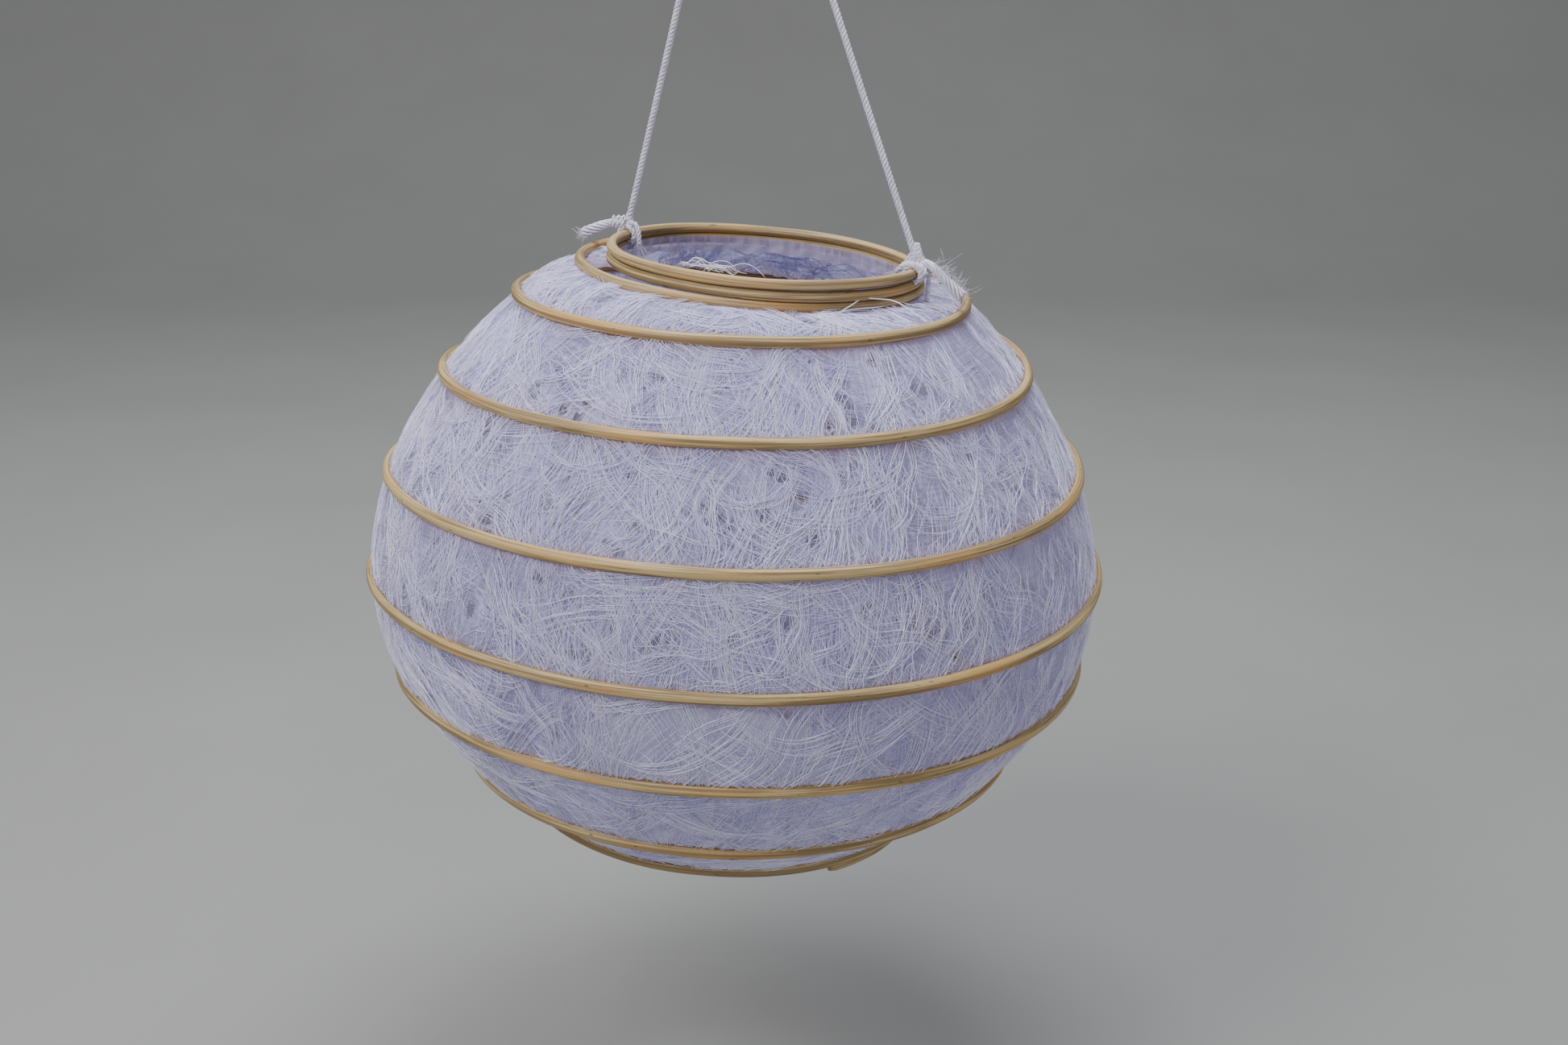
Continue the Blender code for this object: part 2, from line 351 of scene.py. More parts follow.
def cover_points(turn, share, lift=0.0):
    """Points of the cover, with lift metres between them and the gauze, and the outward normals there."""
    upper, lower = arc_at(turn), arc_at(turn + 1.0)
    place = np.interp(upper + (lower - upper) * share, ARCS, PLACES)
    fullness = 1.0 - (2.0 * share - 1.0) ** 2
    height = GAUZE_BULGE["hair"] + (GAUZE_BULGE["web"] - GAUZE_BULGE["hair"]) * web_share(turn)
    bulge = height * (lower - upper) / WIDEST_COVER * fullness - GAUZE_TUCK
    step = 0.02
    fall = np.interp(place + step, PLACES, HEIGHTS) - np.interp(place - step, PLACES, HEIGHTS)
    grow = radius_at(place + step) - radius_at(place - step)
    size = np.maximum(np.hypot(fall, grow), 1e-6)
    out, rise = -fall / size, grow / size
    angle = 2.0 * np.pi * turn
    normal = np.stack([-out * np.sin(angle), -out * np.cos(angle), rise], axis=-1)
    return on_lantern(turn, place) + normal * (bulge + lift)[..., None], normal


def from_hole(turns, shares, hole):
    """Metres round and down the cover from a hole, and the way all round there.

    A hole is its turn, share and radius.
    """
    round_it = 2.0 * math.pi * float(radius_at(hole[0] + 0.5))
    return (turns - hole[0]) * round_it, (shares - hole[1]) * float(strip_width(hole[0])), round_it


def part_round_holes(turns, shares, holes):
    """Moves the strands' points out of the holes, so that the strands bend round them."""
    for hole in holes:
        rim = hole[2]
        reach = HOLE_REACH["threads"] * rim
        across, down, round_it = from_hole(turns, shares, hole)
        near = (np.abs(across) < reach) & (np.abs(down) < reach)
        distance = np.maximum(np.hypot(across[near], down[near]), 1e-5)
        moved = np.where(distance < reach, rim + distance * (reach - rim) / reach, distance)
        turns[near] += across[near] * (moved / distance - 1.0) / round_it
        shares[near] += down[near] * (moved / distance - 1.0) / float(strip_width(hole[0]))
    return turns, shares


def hole_depth(turns, shares, holes):
    """How far inside a hole each point of the gauze is: 1 at its middle, 0 from a little outside its rim."""
    depth = np.zeros(turns.shape)
    for hole in holes:
        across, down, _ = from_hole(turns, shares, hole)
        depth = np.maximum(depth, 1.0 - np.hypot(across, down) / (HOLE_REACH["gauze"] * hole[2]))
    return depth


def to_world(points):
    """Points of the lantern's own frame, in the CAD model's frame."""
    matrix = np.array(LANTERN)
    return points @ matrix[:3, :3].T + matrix[:3, 3]


def fold_share(points):
    """How far each point of the lantern's own frame follows the foot: 0 at the mouth, 1 at the foot."""
    return np.clip((TOP_HEIGHT - points[..., 2]) / (TOP_HEIGHT - FOOT_HEIGHT), 0.0, 1.0)


# ---------------------------------------------------------------- mesh building


def mesh_object(name, points, quads, materials, slots=None, caps=()):
    """A smooth-shaded mesh of quads, and of the given end caps."""
    mesh = bpy.data.meshes.new(name)
    corners = np.concatenate([np.asarray(quads, np.int32).ravel(), *[np.asarray(c, np.int32) for c in caps]])
    sizes = np.concatenate([np.full(len(quads), 4), [len(c) for c in caps]]).astype(np.int32)
    mesh.vertices.add(len(points))
    mesh.vertices.foreach_set("co", np.asarray(points, np.float32).ravel())
    mesh.loops.add(len(corners))
    mesh.loops.foreach_set("vertex_index", corners)
    mesh.polygons.add(len(sizes))
    starts = np.concatenate([[0], np.cumsum(sizes)[:-1]]).astype(np.int32)
    mesh.polygons.foreach_set("loop_start", starts)
    if slots is not None:
        mesh.polygons.foreach_set("material_index", np.asarray(slots, np.int32))
    mesh.polygons.foreach_set("use_smooth", np.ones(len(sizes), bool))
    for surface in materials:
        mesh.materials.append(surface)
    mesh.update(calc_edges=True)
    mesh.validate()
    obj = bpy.data.objects.new(name, mesh)
    bpy.context.scene.collection.objects.link(obj)
    return obj


def add_attribute(obj, name, values):
    """Stores a number or a vector for each point of the mesh, for its material to read."""
    values = np.asarray(values, np.float32)
    kind = "FLOAT_VECTOR" if values.ndim == 2 else "FLOAT"
    field = "vector" if values.ndim == 2 else "value"
    obj.data.attributes.new(name, kind, "POINT").data.foreach_set(field, values.ravel())


def frames_along(path, hint):
    """Tangents and two normals at each point of paths shaped (..., points, 3), the first one near hint."""
    tangent = np.gradient(path, axis=-2)
    tangent /= np.maximum(np.linalg.norm(tangent, axis=-1, keepdims=True), 1e-12)
    first = hint - (hint * tangent).sum(-1, keepdims=True) * tangent
    first /= np.maximum(np.linalg.norm(first, axis=-1, keepdims=True), 1e-12)
    return tangent, first, np.cross(tangent, first)


def tube_grid(path, hint, radius, sides):
    """Rings of points round paths shaped (..., points, 3). The result is shaped (..., points, sides, 3)."""
    _, first, second = frames_along(path, hint)
    angle = 2.0 * np.pi * np.arange(sides) / sides
    radius = np.broadcast_to(radius, path.shape[:-1])[..., None, None]
    ring = first[..., None, :] * np.cos(angle)[:, None] + second[..., None, :] * np.sin(angle)[:, None]
    return path[..., None, :] + ring * radius


def grid_quads(rows, columns):
    """The quads of a sheet of rows by columns points."""
    index = np.arange(rows * columns).reshape(rows, columns)
    corners = index[:-1, :-1], index[:-1, 1:], index[1:, 1:], index[1:, :-1]
    return np.stack(corners, axis=-1).reshape(-1, 4)


def tube_quads(tubes, rings, sides):
    """The quads of that many equal tubes, and the corners of their end caps."""
    index = np.arange(tubes * rings * sides).reshape(tubes, rings, sides)
    turned = np.roll(index, -1, axis=2)
    quads = np.stack([index[:, :-1], turned[:, :-1], turned[:, 1:], index[:, 1:]], axis=-1).reshape(-1, 4)
    caps = np.concatenate([index[:, 0, ::-1], index[:, -1]])
    return quads, caps


def blend_with_fold(obj, share):
    """Lets obj follow the folding of the lantern, each point by its own share."""
    ends = [LANTERN @ Vector((0.0, 0.0, height)) for height in (TOP_HEIGHT, FOOT_HEIGHT)]
    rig.blend(obj, "mouth", "foot", start=ends[0], end=ends[1])
    obj.data.attributes["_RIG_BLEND"].data.foreach_set("value", np.asarray(share, np.float32))


# ---------------------------------------------------------------- materials


class Shader:
    """A material's node tree, and short names for the nodes that the materials here use."""

    def __init__(self, name):
        self.material = bpy.data.materials.new(name)
        self.material.use_nodes = True
        self.nodes = self.material.node_tree.nodes
        self.links = self.material.node_tree.links
        self.surface = self.nodes["Principled BSDF"]

    def link(self, value, socket):
        """Puts a plain value on the socket, or a link from another node's output."""
        if isinstance(value, bpy.types.NodeSocket):
            self.links.new(value, socket)
        elif value is not None:
            socket.default_value = value

    def add(self, kind, output=0, inputs=(), **settings):
        """Adds a node and returns one of its outputs."""
        node = self.nodes.new(kind)
        for key, value in settings.items():
            setattr(node, key, value)
        for key, value in dict(inputs).items():
            self.link(value, node.inputs[key])
        return node.outputs[output]

    def attribute(self, name, output="Vector"):
        return self.add("ShaderNodeAttribute", output, attribute_name=name)

    def scaled(self, vector, scale):
        return self.add("ShaderNodeMapping", inputs={"Vector": vector, "Scale": scale})

    def noise(self, vector, scale, detail=4.0, roughness=0.5, distortion=0.0):
        values = {"Vector": vector, "Scale": scale, "Detail": detail, "Roughness": roughness}
        return self.add("ShaderNodeTexNoise", inputs={**values, "Distortion": distortion})

    def ramp(self, value, low, high, to_low=0.0, to_high=1.0):
        """A soft step from to_low to to_high as value goes from low to high."""
        places = {"From Min": low, "From Max": high, "To Min": to_low, "To Max": to_high}
        inputs = {"Value": value, **places}
        return self.add("ShaderNodeMapRange", inputs=inputs, interpolation_type="SMOOTHSTEP")

    def maths(self, operation, first, second=None):
        return self.add("ShaderNodeMath", inputs={0: first, 1: second}, operation=operation)

    def mix(self, share, first, second):
        node = self.nodes.new("ShaderNodeMix")
        node.data_type = "RGBA"
        for socket, value in ((0, share), (6, first), (7, second)):
            self.link(value, node.inputs[socket])
        return node.outputs[2]

    def bump(self, height, strength, distance):
        values = {"Height": height, "Strength": strength, "Distance": distance}
        return self.add("ShaderNodeBump", inputs=values)

    def let_light_through(self, share, tint, alpha):
        """Makes the surface pass that share of the light, spread, and be open where alpha is below 1."""
        through = self.add("ShaderNodeBsdfTranslucent", inputs={"Color": tint})
        clear = self.add("ShaderNodeBsdfTransparent")
        solid = self.add("ShaderNodeMixShader", inputs={0: share, 1: self.surface.outputs[0], 2: through})
        mixed = self.add("ShaderNodeMixShader", inputs={0: alpha, 1: clear, 2: solid})
        self.links.new(mixed, self.nodes["Material Output"].inputs["Surface"])

    def set(self, **inputs):
        """Sets inputs of the main shader, with _ for each space in their names."""
        for key, value in inputs.items():
            self.link(value, self.surface.inputs[key.replace("_", " ")])


def colour(red, green, blue):
    """An opaque linear colour."""
    return (red, green, blue, 1.0)


def rattan_material():
    """Peeled rattan: fine lengthwise grain, amber stretches, and a few dark pores."""
    shader = Shader("rattan_reed")
    place = shader.attribute("grain")
    fibres = shader.noise(shader.scaled(place, (22.0, 1500.0, 1500.0)), 1.0, 5.0, 0.65)
    grooves = shader.noise(shader.scaled(place, (9.0, 900.0, 900.0)), 1.0, 2.0, 0.5)
    stretches = shader.noise(shader.scaled(place, (16.0, 60.0, 60.0)), 1.0, 2.0, 0.5)
    pores = shader.noise(shader.scaled(place, (260.0, 1300.0, 1300.0)), 1.0, 1.0, 0.5)
    dark_wood, pale_wood = colour(0.21, 0.14, 0.06), colour(0.48, 0.355, 0.172)
    amber, groove, pore = colour(0.54, 0.30, 0.095), colour(0.19, 0.12, 0.055), colour(0.10, 0.055, 0.02)
    plain = shader.mix(shader.ramp(fibres, 0.40, 0.56), dark_wood, pale_wood)
    warmed = shader.mix(shader.ramp(stretches, 0.48, 0.70, 0.0, 0.65), plain, amber)
    lined = shader.mix(shader.ramp(grooves, 0.52, 0.60, 0.0, 0.75), warmed, groove)
    tint = shader.mix(shader.ramp(pores, 0.735, 0.76, 0.0, 0.85), lined, pore)
    ridges = shader.maths("ADD", shader.maths("MULTIPLY", fibres, 0.6), grooves)
    shader.set(Base_Color=tint, Roughness=shader.ramp(fibres, 0.3, 0.7, 0.56, 0.40))
    shader.set(Normal=shader.bump(ridges, 0.65, 0.00035), Specular_IOR_Level=0.4)
    return shader.material


def gauze_material():
    """Sheer gauze: clouded violet fibres with small openings, closer and pinker along the reed, the pink partly glue
    and partly painted shade and painted reflection of the reed's colour.
    """
    shader = Shader("gauze")
    place = shader.attribute("cloth")
    edge = shader.attribute("edge", "Fac")
    openness = shader.attribute("openness", "Fac")
    cloud = shader.noise(shader.scaled(place, (70.0, 45.0, 1.0)), 1.0, 5.0, 0.6, 0.6)
    fibres = shader.noise(shader.scaled(place, (900.0, 120.0, 1.0)), 1.0, 4.0, 0.6, 0.4)
    crossing = shader.noise(shader.scaled(place, (150.0, 1100.0, 1.0)), 1.0, 4.0, 0.6, 0.4)
    web = shader.maths("ADD", shader.maths("MULTIPLY", fibres, 0.6), shader.maths("MULTIPLY", crossing, 0.4))
    deep, light, fibre = colour(0.36, 0.34, 0.54), colour(0.49, 0.465, 0.72), colour(0.65, 0.61, 0.88)
    pink, shadow = colour(0.62, 0.43, 0.56), colour(0.20, 0.18, 0.24)
    body = shader.mix(shader.ramp(cloud, 0.35, 0.65), deep, light)
    streaked = shader.mix(shader.ramp(web, 0.48, 0.60, 0.0, 0.6), body, fibre)
    # Pink band along the reed: partly glue, partly painted shade and painted reflection of the reed's colour on the
    # gauze.
    tint = shader.mix(shader.ramp(edge, 0.0, 1.0, 0.0, 0.7), streaked, pink)
    spots = shader.noise(shader.scaled(place, (520.0, 260.0, 1.0)), 1.0, 3.0, 0.7, 1.2)
    rough_rim = shader.maths("MULTIPLY", shader.maths("SUBTRACT", spots, 0.5), 1.7)
    ragged = shader.maths("ADD", openness, rough_rim)
    holes = shader.maths("MULTIPLY", shader.ramp(ragged, 0.20, 0.42), shader.ramp(openness, 0.0, 0.1))
    shaded = shader.mix(shader.maths("MULTIPLY", holes, 0.9), tint, shadow)
    thin = shader.ramp(web, 0.42, 0.57, 0.68, 0.95)
    alpha = shader.maths("MULTIPLY", thin, shader.ramp(holes, 0.0, 1.0, 1.0, 0.55))
    shader.set(Base_Color=shaded, Roughness=0.65, Sheen_Weight=0.25, Sheen_Roughness=0.4)
    shader.set(Normal=shader.bump(web, 0.5, 0.0005))
    shader.let_light_through(0.4, shaded, alpha)
    return shader.material


def thread_material(name, tint, roughness):
    """Silk-like thread. Its pattern is its own geometry, so that the tint is plain."""
    shader = Shader(name)
    shader.set(Base_Color=tint, Roughness=roughness, Sheen_Weight=0.3, Sheen_Roughness=0.35)
    shader.set(Specular_IOR_Level=0.6)
    return shader.material


def cord_material():
    """Soft white cotton yarn, with its plies, painted violet shade in the hollows between them and a pink tinge in
    places.
    """
    shader = Shader("white_cord")
    place = shader.attribute("grain")
    plies = shader.noise(shader.scaled(place, (400.0, 2600.0, 2600.0)), 1.0, 4.0, 0.6)
    patches = shader.noise(shader.scaled(place, (40.0, 40.0, 40.0)), 1.0, 2.0, 0.5)
    hollow_shade, ply, pink = colour(0.50, 0.47, 0.62), colour(0.78, 0.76, 0.87), colour(0.82, 0.70, 0.72)
    # The hollows between the plies are painted darker violet: painted shade.
    yarn = shader.mix(shader.ramp(plies, 0.35, 0.65), hollow_shade, ply)
    tint = shader.mix(shader.ramp(patches, 0.55, 0.75, 0.0, 0.35), yarn, pink)
    shader.set(Base_Color=tint, Roughness=0.7, Sheen_Weight=0.4, Sheen_Roughness=0.5)
    shader.set(Normal=shader.bump(plies, 0.7, 0.0003))
    return shader.material


def stage_material():
    """A matt pale floor, faintly mottled."""
    shader = Shader("pale_floor")
    place = shader.add("ShaderNodeTexCoord", "Object")
    mottle = shader.noise(place, 6.0, 6.0, 0.6)
    tint = shader.mix(mottle, colour(0.25, 0.25, 0.238), colour(0.29, 0.29, 0.277))
    shader.set(Base_Color=tint, Roughness=0.85, Specular_IOR_Level=0.2)
    return shader.material


# ---------------------------------------------------------------- camera, stage and light


def add_camera():
    """The camera looks down on the lantern from in front."""
    elevation = math.radians(18.7)
    aim = Vector((0.0122, 0.0, -0.231))
    distance = 0.6407
    away = Vector((0.0, -math.cos(elevation), math.sin(elevation)))
    data = bpy.data.cameras.new("camera")
    data.sensor_width = 36.0
    data.lens = 43.29
    data.clip_start = 0.01
    camera = bpy.data.objects.new("camera", data)
    camera.location = aim + away * distance
    camera.rotation_euler = (math.pi / 2.0 - elevation, 0.0, 0.0)
    bpy.context.scene.collection.objects.link(camera)
    bpy.context.scene.camera = camera


def add_area_light(name, place, size, power, tint):
    """A round soft light that faces the lantern."""
    data = bpy.data.lights.new(name, "AREA")
    data.shape = "DISK"
    data.size = size
    data.energy = power
    data.color = tint
    light = bpy.data.objects.new(name, data)
    light.location = place
    towards = Vector((0.0, 0.0, -0.22)) - light.location
    light.rotation_euler = towards.to_track_quat("-Z", "Y").to_euler()
    bpy.context.scene.collection.objects.link(light)


def add_stage():
    """A pale floor that curves up far behind, and soft light from above, the left and low in front."""
    floor_height = CAD_BOX[0].z - 0.11
    reach, half_width, corner, wall, bends = 2.2, 3.5, 0.8, 2.6, 12
    profile = [(-reach, floor_height), (reach - corner, floor_height)]
    for step in range(1, bends + 1):
        angle = math.pi / 2.0 * step / bends
        away = reach - corner + corner * math.sin(angle)
        profile.append((away, floor_height + corner * (1.0 - math.cos(angle))))
    profile.append((reach, floor_height + wall))
    points = [(side * half_width, along, height) for along, height in profile for side in (-1.0, 1.0)]
    quads = [(2 * i, 2 * i + 1, 2 * i + 3, 2 * i + 2) for i in range(len(profile) - 1)]
    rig.stage(mesh_object("floor", points, quads, [stage_material()]))
    world = bpy.data.worlds.new("soft_daylight")
    world.use_nodes = True
    background = world.node_tree.nodes["Background"]
    background.inputs["Color"].default_value = colour(0.93, 0.95, 1.0)
    background.inputs["Strength"].default_value = 0.50
    bpy.context.scene.world = world
    add_area_light("key", (-0.75, -0.65, 0.75), 0.8, 16.0, (1.0, 0.985, 0.985))
    add_area_light("fill", (0.5, -1.0, -0.30), 0.9, 2.4, (1.0, 0.975, 0.95))
    add_area_light("top", (0.05, 0.25, 0.95), 0.9, 19.5, (0.91, 0.935, 1.0))


# ---------------------------------------------------------------- reed and gauze


def add_reed(surface):
    """The whole rattan spiral as one piece, slightly uneven along its length."""
    sides, step, waver_height, end_share = 14, 0.0022, 0.00006, 0.82
    turns = [FIRST_TURN]
    while turns[-1] < LAST_TURN:
        turns.append(turns[-1] + step / (2.0 * math.pi * float(radius_at(turns[-1]))))
    turns = np.array(turns)
    path = reed_points(turns)
    along = np.arange(len(turns)) * step
    waver = np.sin(along * 47.0) + np.sin(along * 119.0 + 1.0) + np.sin(along * 23.0 + 2.0)
    path[:, 2] += waver_height * waver
    radius = REED_RADIUS * (1.0 + 0.012 * np.sin(along * 71.0) + 0.010 * np.sin(along * 193.0))
    radius[[0, -1]] *= end_share
    outward = path * np.array([1.0, 1.0, 0.0])
    rings = tube_grid(path, outward, radius, sides)
    tall = 1.0 + (REED_HEIGHT_SHARE - 1.0) * smooth((turns - LAST_STACKED_TURN) / 0.4)
    rings[..., 2] = path[:, None, 2] + (rings[..., 2] - path[:, None, 2]) * tall[:, None]
    quads, caps = tube_quads(1, len(turns), sides)
    reed = mesh_object("rattan_spiral", to_world(rings.reshape(-1, 3)), quads, [surface], caps=caps)
    angle = 2.0 * np.pi * np.arange(sides) / sides
    grain = np.empty((len(turns), sides, 3))
    grain[..., 0] = along[:, None]
    grain[..., 1] = REED_RADIUS * np.cos(angle)
    grain[..., 2] = REED_RADIUS * np.sin(angle)
    add_attribute(reed, "grain", grain.reshape(-1, 3))
    blend_with_fold(reed, np.repeat(fold_share(path), sides))
    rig.replaces(reed, "mouth_hoop", *[f"coil_{i}" for i in range(1, 8)], "foot_hoop")
    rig.slot(reed, "rattan")
    return reed


def cover_holes():
    """The larger openings of the web, in clusters of up to three: turn, share and radius of each."""
    turn = cover_turns(HOLE_CLUSTERS, high=LAST_HOLE_TURN)
    turn = turn[RNG.random(HOLE_CLUSTERS) < web_share(turn)]
    share = np.clip(RNG.normal(0.5, 0.24, len(turn)), 0.14, 0.86)
    sizes = RNG.integers(1, 4, len(turn))
    turn, share = np.repeat(turn, sizes), np.repeat(share, sizes)
    cluster_spread = 0.0019
    apart = RNG.normal(0.0, cluster_spread, (2, len(turn)))
    turn = turn + apart[0] / (2.0 * np.pi * radius_at(turn + 0.5))
    share = share + apart[1] / strip_width(turn)
    radius = HOLE_RADII[0] + (HOLE_RADII[1] - HOLE_RADII[0]) * RNG.random(len(turn)) ** 1.6
    return list(zip(turn.tolist(), share.tolist(), radius.tolist()))


def add_gauze(surface, reed, holes, facing):
    """The sheer cover, one strip that winds from the mouth to the foot hoop."""
    around, across = 3700, 24
    turn = np.linspace(FIRST_COVER_TURN, FOOT_HOOP_TURN, around)[:, None]
    share = np.linspace(0.0, 1.0, across)[None, :]
    turn, share = np.broadcast_arrays(turn, share)
    run = 2.0 * np.pi * np.cumsum(radius_at(turn + 0.5), axis=0) * (turn[1, 0] - turn[0, 0])
    down = share * strip_width(turn)
    pucker = np.sin(run * 900.0 + 3.0 * np.sin(run * 131.0)) * np.sin(run * 370.0)
    ripple = np.sin(run * 240.0 + down * 90.0) + 0.6 * np.sin(run * 97.0 - down * 140.0)
    pucker_height, ripple_height = 0.00022, 0.00028
    at_edges, between = np.abs(2.0 * share - 1.0), np.sin(np.pi * share)
    lift = pucker_height * pucker * at_edges + ripple_height * ripple * between
    points, _ = cover_points(turn, share, lift)
    flat = points.reshape(-1, 3)
    gauze = mesh_object("gauze_cover", to_world(flat), grid_quads(around, across), [surface])
    add_attribute(gauze, "cloth", np.stack([run, down, np.zeros_like(run)], axis=-1).reshape(-1, 3))
    # The edge attribute weighs the pink band along each pass of the reed: partly glue, partly painted shade and
    # painted reflection of the reed's colour.
    pink_glue_and_shade_width, fade_width = 0.0015, 0.0035
    reach = np.minimum(share, 1.0 - share) * strip_width(turn)
    add_attribute(gauze, "edge", (1.0 - smooth((reach - pink_glue_and_shade_width) / fade_width)).ravel())
    add_attribute(gauze, "openness", hole_depth(turn, share, holes).ravel())
    blend_with_fold(gauze, fold_share(flat))
    onward = points[1:, :-1] - points[:-1, :-1]
    downward = points[:-1, 1:] - points[:-1, :-1]
    area = float(np.linalg.norm(np.cross(onward, downward), axis=-1).sum())
    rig.replaces(gauze, *[f"cover_{i}" for i in range(8)])
    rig.slot(gauze, "cover")
    flat_size = (float(strip_width(turn).max()), float(run[-1, 0]))
    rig.sheet(gauze, flat=flat_size, area=area, held="stretched", rests_on=[reed], with_pieces=[facing])


def add_facing(surface):
    """The cover's top edge, folded over the second winding at the back of the mouth."""
    around, across, last_turn = 240, 10, 1.80
    turn = np.linspace(FIRST_COVER_TURN, last_turn, around)[:, None]
    share = np.linspace(0.0, 1.0, across)[None, :]
    turn, share = np.broadcast_arrays(turn, share)
    run = 2.0 * np.pi * radius_at(turn) * (turn - FIRST_COVER_TURN)
    gap, top, width = 0.0004, 0.0012, 0.0052
    out = -REED_RADIUS - gap + 0.00018 * np.sin(run * 760.0 + 5.0 * share) * share
    drop = top - width * share + 0.0004 * np.sin(run * 410.0) * share
    points = on_lantern(turn, turn, out=out, up=stacked_rise(turn) + drop).reshape(-1, 3)
    facing = mesh_object("gauze_facing", to_world(points), grid_quads(around, across), [surface])
    cloth = np.stack([0.3 * run, 0.0015 * share, np.zeros_like(run)], axis=-1)
    add_attribute(facing, "cloth", cloth.reshape(-1, 3))
    # The whole facing takes some of the pink band: partly glue, partly painted shade and painted reflection of the
    # reed's colour.
    add_attribute(facing, "edge", np.full(len(points), 0.35))
    add_attribute(facing, "openness", np.zeros(len(points)))
    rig.ride(facing, "mouth")
    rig.slot(facing, "cover")
    return facing


# ---------------------------------------------------------------- threads


def strands(turn, share, heading, length, curl, wave, wavelength, phase, knots):
    """Paths on the cover: turns and shares at equal steps, from a start, a heading and curls.

    Each argument but knots holds one value for each strand. A heading of 0 is straight down the strip.
    """
    step = (length / (knots - 1))[:, None]
    along = step * np.arange(knots)[None, :]
    bend = wave[:, None] * np.sin(2.0 * np.pi * along / wavelength[:, None] + phase[:, None])
    facing = heading[:, None] + curl[:, None] * along + bend
    sideways = np.cumsum(np.sin(facing) * step, axis=1)
    downwards = np.cumsum(np.cos(facing) * step, axis=1)
    start = turn[:, None]
    turns = start + sideways / (2.0 * np.pi * radius_at(start + 0.5))
    shares = share[:, None] + downwards / strip_width(start)
    return turns, shares


def bundle(values, sizes, spread):
    """Each value repeated for its bundle, with a small difference for each strand."""
    repeated = np.repeat(values, sizes)
    return repeated + RNG.normal(0.0, spread, len(repeated))


def cover_turns(count, low=FIRST_COVER_TURN, high=FOOT_HOOP_TURN):
    """Random turn numbers, spread evenly over the cover's area."""
    least_width = 0.002
    fine = np.linspace(low, high, 2000)
    weight = np.cumsum(radius_at(fine + 0.5) * np.maximum(strip_width(fine), least_width))
    return np.interp(RNG.uniform(0.0, weight[-1], count), weight, fine)


def places_in_bundles(sizes):
    """The place of each strand in its bundle, counted from the middle."""
    return np.concatenate([np.arange(size) - size / 2.0 for size in sizes])


def web_strands(bundles):
    """Bundles of nearly parallel threads that cross one another at all angles."""
    turn = cover_turns(bundles)
    turn = turn[RNG.random(bundles) < 0.03 + 0.97 * web_share(turn)]
    count = len(turn)
    sizes = RNG.integers(5, 17, count)
    steep = RNG.random(count) < 0.55
    heading = np.where(steep, RNG.normal(0.0, 0.5, count), RNG.uniform(-1.7, 1.7, count))
    apart = places_in_bundles(sizes) * np.repeat(RNG.uniform(0.00045, 0.00080, count), sizes)
    headings = bundle(heading, sizes, 0.018)
    turns = np.repeat(turn, sizes)
    across = apart * np.cos(headings) / (2.0 * np.pi * radius_at(turns + 0.5))
    down = apart * np.sin(headings) / strip_width(turns)
    return strands(
        turns + across,
        bundle(RNG.uniform(-0.3, 0.55, count), sizes, 0.03) - down,
        headings,
        bundle(RNG.uniform(0.022, 0.055, count), sizes, 0.003),
        bundle(RNG.normal(0.0, 24.0, count), sizes, 1.0),
        np.abs(bundle(RNG.uniform(0.0, 0.35, count), sizes, 0.015)),
        np.abs(bundle(RNG.uniform(0.010, 0.03, count), sizes, 0.0008)) + 0.004,
        bundle(RNG.uniform(0.0, 2.0 * np.pi, count), sizes, 0.06),
        12,
    )


def hair_strands(bundles):
    """Long wavy threads that hang from one pass of the reed to the next, in loose locks."""
    turn = cover_turns(bundles)
    turn = turn[RNG.random(bundles) < 1.0 - 0.85 * web_share(turn)]
    count = len(turn)
    sizes = RNG.integers(2, 8, count)
    turns = np.repeat(turn, sizes)
    spacing, scatter = 0.00055, 0.00012
    apart = places_in_bundles(sizes) * spacing
    apart = apart + RNG.normal(0.0, scatter, len(apart))
    turns = turns + apart / (2.0 * np.pi * radius_at(turns + 0.5))
    return strands(
        turns,
        bundle(RNG.uniform(-0.05, 0.35, count), sizes, 0.04),
        bundle(RNG.normal(0.0, 0.16, count), sizes, 0.035),
        strip_width(turns) * bundle(RNG.uniform(0.45, 1.0, count), sizes, 0.06),
        bundle(RNG.normal(0.0, 7.0, count), sizes, 1.5),
        np.abs(bundle(RNG.uniform(0.45, 0.9, count), sizes, 0.04)),
        np.abs(bundle(RNG.uniform(0.016, 0.030, count), sizes, 0.0008)) + 0.004,
        bundle(RNG.normal(2.2, 0.5, count), sizes, 0.08),
        14,
    )


def felt_strands(count):
    """Short fine threads in every direction, which close the ground between the bundles."""
    turn = cover_turns(count)
    turn = turn[RNG.random(count) < 0.15 + 0.85 * web_share(turn)]
    count = len(turn)
    return strands(
        turn,
        RNG.uniform(-0.05, 1.0, count),
        RNG.uniform(-np.pi, np.pi, count),
        RNG.uniform(0.006, 0.018, count),
        RNG.normal(0.0, 60.0, count),
        RNG.uniform(0.0, 0.5, count),
        RNG.uniform(0.006, 0.02, count),
        RNG.uniform(0.0, 2.0 * np.pi, count),
        7,
    )


def edge_strands(count):
    """Short crimped threads gathered along the top of each pass of the reed."""
    turn = cover_turns(count)
    return strands(
        turn,
        np.full(count, 1.0),
        np.pi + RNG.normal(0.0, 0.55, count),
        RNG.uniform(0.003, 0.0085, count),
        RNG.normal(0.0, 120.0, count),
        RNG.uniform(0.0, 0.8, count),
        RNG.uniform(0.003, 0.008, count),
        RNG.uniform(0.0, 2.0 * np.pi, count),
        6,
    )


